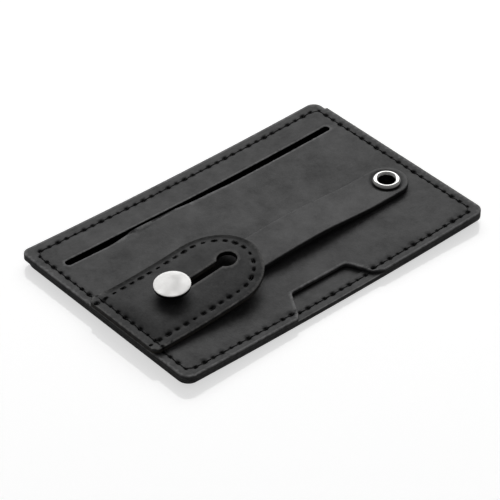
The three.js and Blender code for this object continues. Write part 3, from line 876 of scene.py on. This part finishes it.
# Threads
edge_thread = stitches(EDGE_SEAM, sewn_height, radius=0.15, proud=-0.08, sunk=0.5)
add("edge_stitches", edge_thread, THREAD, node_name="edge_thread")
back_thread = stitches(BACK_SEAM, flat(SKIN_BOTTOM), radius=0.17, proud=-0.04, sunk=0.3, up=-1)
add("back_stitches", back_thread, THREAD, node_name="back_thread")
tab_thread = stitches(TAB_SEAM, tab_height, radius=0.14, proud=-0.34, sunk=0.55)
add("tab_stitches", tab_thread, THREAD, node_name="tab_thread")


# Strap: one sheet, cut in two near the place that rises highest when it bows
CUT_X = 2.5


def strap_thickness(x):
    return STRAP_END_THICK + STRAP_THICKENS * smooth(x, STRAP_LEFT, STRAP_RISE_X)


strap_half = STRAP_WIDTH / 2
strap_loop = spaced(
    arc(EYELET_X, TAB_Y, strap_half, -math.pi / 2, math.pi / 2, 0.4)
    + arc(STRAP_LEFT + strap_half, TAB_Y, strap_half, math.pi / 2, 1.5 * math.pi, 0.4),
    0.8,
)


def pressed(x, y):
    """1 in the ring that the eyelet's flange presses into the strap."""
    return math.exp(-(((math.hypot(x - EYELET_X, y - TAB_Y) - EYELET_R - 0.1) / 0.55) ** 2))


def strap_shade(x, y, z):
    """Painted shade under the tab's slot, in the pressed ring and on the walls."""
    below_tab = smooth(x, -35, -33) * smooth(x, -12.5, -14.5) * smooth(abs(y - TAB_Y), 3.2, 2.4)
    on_wall = 0.5 if z < PANEL_TOP + strap_lift(x) + strap_thickness(x) - 0.2 else 0.0
    return max(0.65 * below_tab, 0.55 * pressed(x, y), on_wall)


pressed_rings = (3.1, 3.5, 3.9, 4.3, 4.7)
strap_mesh = slab(
    [
        strap_loop,
        circle(EYELET_X, TAB_Y, TUBE_HOLE, hole=True),
        circle(STUD_X, TAB_Y, NECK_HOLE, hole=True),
    ],
    lambda x, y: PANEL_TOP + strap_lift(x) + strap_thickness(x) - PRESSED_DEPTH * pressed(x, y),
    lambda x, y: PANEL_TOP + strap_lift(x),
    round_top=0.24,
    round_bottom=0.12,
    step=0.8,
    extra=[p for radius in pressed_rings for p in circle(EYELET_X, TAB_Y, radius, step=0.5)],
)


def strap_part(name, keep_right):
    made = add(name, strap_mesh, STRAP_LEATHER, body=None, shade=strap_shade)
    bm = bmesh.new()
    bm.from_mesh(made.data)
    bmesh.ops.bisect_plane(
        bm,
        geom=bm.verts[:] + bm.edges[:] + bm.faces[:],
        plane_co=(CUT_X * MM, 0, 0),
        plane_no=(1, 0, 0),
        clear_inner=keep_right,
        clear_outer=not keep_right,
    )
    rim = [e for e in bm.edges if e.is_boundary]
    cap = bmesh.ops.contextual_create(bm, geom=rim)["faces"]
    for f in cap:
        for e in f.edges:
            e.smooth = False
    bm.to_mesh(made.data)
    bm.free()
    return made


strap_right = strap_part("strap_right", True)
strap_left = strap_part("strap_left", False)
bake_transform(strap_right)
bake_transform(strap_left)
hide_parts("strap")
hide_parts("strap")


# Stud and its plate, turned, leaning back on the tab
def leaned(made):
    """The turned body moved to its place on the tab and leaned."""
    foot = tab_height(STUD_X, TAB_Y) + BOW * STUD_X**2
    turn = Matrix.Rotation(math.radians(-STUD_TILT), 3, "Y")
    verts = [turn @ Vector(v) + Vector((STUD_X, TAB_Y, foot)) for v in made[0]]
    return [tuple(v) for v in verts], made[1]


def corner(r, z, radius, start, end):
    """Points of a profile round (r, z), between two angles in degrees."""
    steps = 5
    turns = [math.radians(start + (end - start) * k / steps) for k in range(steps + 1)]
    return [(r + radius * math.cos(t), z + radius * math.sin(t)) for t in turns]


# Profiles as (radius, height over the tab)
plate_low = PANEL_TOP + 0.27 - tab_height(STUD_X, TAB_Y)
cap_profile = [
    (0, plate_low),
    (0.95, plate_low),
    (0.95, 0.4),
    (2.1, 0.4),
    (2.2, 0.6),
    (2.9, 1.5),
    (3.2, 1.78),
    *corner(CAP_R - 0.28, CAP_HEIGHT - 0.85, 0.16, -90, 0),
    *corner(CAP_R - 0.14, CAP_HEIGHT - 0.14, 0.14, 0, 90),
    (CAP_R - 0.6, CAP_HEIGHT + 0.01),
    (0, CAP_HEIGHT + 0.03),
]


def stud_shade(x, y, z):
    """Painted shade: 1 on the stud's side and neck, 0 on its top."""
    lean = math.radians(STUD_TILT)
    over_tab = z - tab_height(STUD_X, TAB_Y) - BOW * STUD_X**2
    up = over_tab * math.cos(lean) - (x - STUD_X) * math.sin(lean)
    return smooth(up, CAP_HEIGHT - 0.02, CAP_HEIGHT - 0.09)


add("stud_cap", leaned(turned(cap_profile)), STEEL, "stud", "stud_button", bow=False, shade=stud_shade)
plate_profile = [
    (1.0, plate_low),
    *corner(2.1, plate_low + 0.1, 0.1, -90, 0),
    *corner(2.1, plate_low + 0.3, 0.1, 0, 90),
    (1.0, plate_low + 0.4),
]
add("stud_washer", leaned(turned(plate_profile, 64)), NICKEL, "stud", "stud_plate", bow=False)

# Eyelet: a domed ring rolled into its tube
DOME_MIDDLE, DOME_HALF, DOME_HEIGHT = 2.86, 0.79, 0.72
dome_turns = [math.radians(a) for a in range(0, 171, 10)]
seat = PANEL_TOP + STRAP_SEAT + STRAP_THICK
eyelet_profile = [
    (EYELET_HOLE, FRONT_BOTTOM + 0.1),
    (EYELET_HOLE + 0.2, FRONT_BOTTOM),
    (3.0, FRONT_BOTTOM),
    (3.1, FRONT_BOTTOM + 0.14),
    (3.0, FRONT_BOTTOM + 0.28),
    (EYELET_HOLE + 0.3, FRONT_BOTTOM + 0.28),
    (EYELET_HOLE + 0.3, seat),
    (EYELET_R - 0.05, seat),
    *[(DOME_MIDDLE + DOME_HALF * math.cos(a), seat + 0.05 + DOME_HEIGHT * math.sin(a)) for a in dome_turns],
    (EYELET_HOLE - 0.04, seat - 0.1),
    (EYELET_HOLE, seat - 0.5),
]
ring = turned(eyelet_profile)
ring = ([(x + EYELET_X, y + TAB_Y, z) for x, y, z in ring[0]], ring[1])
add("eyelet_ring", ring, NICKEL, node_name="eyelet")


# Stage: a glossy white floor, one soft light behind, and a dim world that the camera sees as white
FLOOR_CELLS, FLOOR_REACH, FLOOR_LIFT = 20, 3.0, 0.64
# The world's x is turned by this angle to point behind the holder, and brought to 0..1
BEHIND_DEGREES = -48.5


def add_floor():
    made, tree, shader = material("floor", roughness=0.9, specular=0.0, color=grey(0.72))
    shader.inputs["Coat Weight"].default_value = 1.0
    shader.inputs["Coat Roughness"].default_value = 0.06
    shader.inputs["Emission Color"].default_value = (1, 1, 1, 1)
    path = node(tree, "ShaderNodeLightPath")
    share = node(tree, "ShaderNodeMath")
    share.operation = "MULTIPLY"
    share.inputs[1].default_value = FLOOR_LIFT
    tree.links.new(path.outputs["Is Camera Ray"], share.inputs[0])
    tree.links.new(share.outputs[0], shader.inputs["Emission Strength"])
    row = FLOOR_CELLS + 1
    places = [FLOOR_REACH * (2 * i / FLOOR_CELLS - 1) for i in range(row)]
    verts = [(x, y, 0) for x in places for y in places]
    starts = [i * row + j for i in range(FLOOR_CELLS) for j in range(FLOOR_CELLS)]
    faces = [(a, a + row, a + row + 1, a + 1) for a in starts]
    mesh = bpy.data.meshes.new("floor")
    mesh.from_pydata(verts, [], faces)
    mesh.materials.append(made)
    floor = bpy.data.objects.new("floor", mesh)
    bpy.context.scene.collection.objects.link(floor)


def add_light(name, direction, distance, width, height, radiance):
    data = bpy.data.lights.new(name, "AREA")
    data.shape, data.size, data.size_y = "RECTANGLE", width, height
    data.energy = radiance * math.pi * width * height
    light = bpy.data.objects.new(name, data)
    d = Vector(direction).normalized()
    light.location = d * distance
    light.rotation_mode = "QUATERNION"
    light.rotation_quaternion = d.to_track_quat("Z", "Y")
    bpy.context.scene.collection.objects.link(light)


def add_world():
    world = bpy.data.worlds.new("world")
    bpy.context.scene.world = world
    world.use_nodes = True
    tree = world.node_tree
    place = node(
        tree,
        "ShaderNodeMapping",
        Vector=node(tree, "ShaderNodeTexCoord").outputs["Generated"],
        Rotation=(0, 0, math.radians(BEHIND_DEGREES)),
        Scale=grey(0.5),
        Location=(0.5, 0, 0),
    )
    behind = node(tree, "ShaderNodeSeparateXYZ", Vector=place.outputs["Vector"])
    sky = ramp(tree, behind.outputs["X"], (0.0, 0.1), (0.35, 0.16), (0.65, 0.24), (1.0, 0.2))
    path = node(tree, "ShaderNodeLightPath").outputs["Is Camera Ray"]
    shown = mix(tree, path, sky, (1, 1, 1))
    background = tree.nodes["Background"]
    tree.links.new(shown, background.inputs["Color"])
    background.inputs["Strength"].default_value = 1.0


add_floor()
add_light("back_softbox", direction=(0.53, 0.6, 0.6), distance=0.9, width=0.95, height=0.42, radiance=2.45)
add_world()
bpy.context.scene.view_settings.view_transform = "Standard"
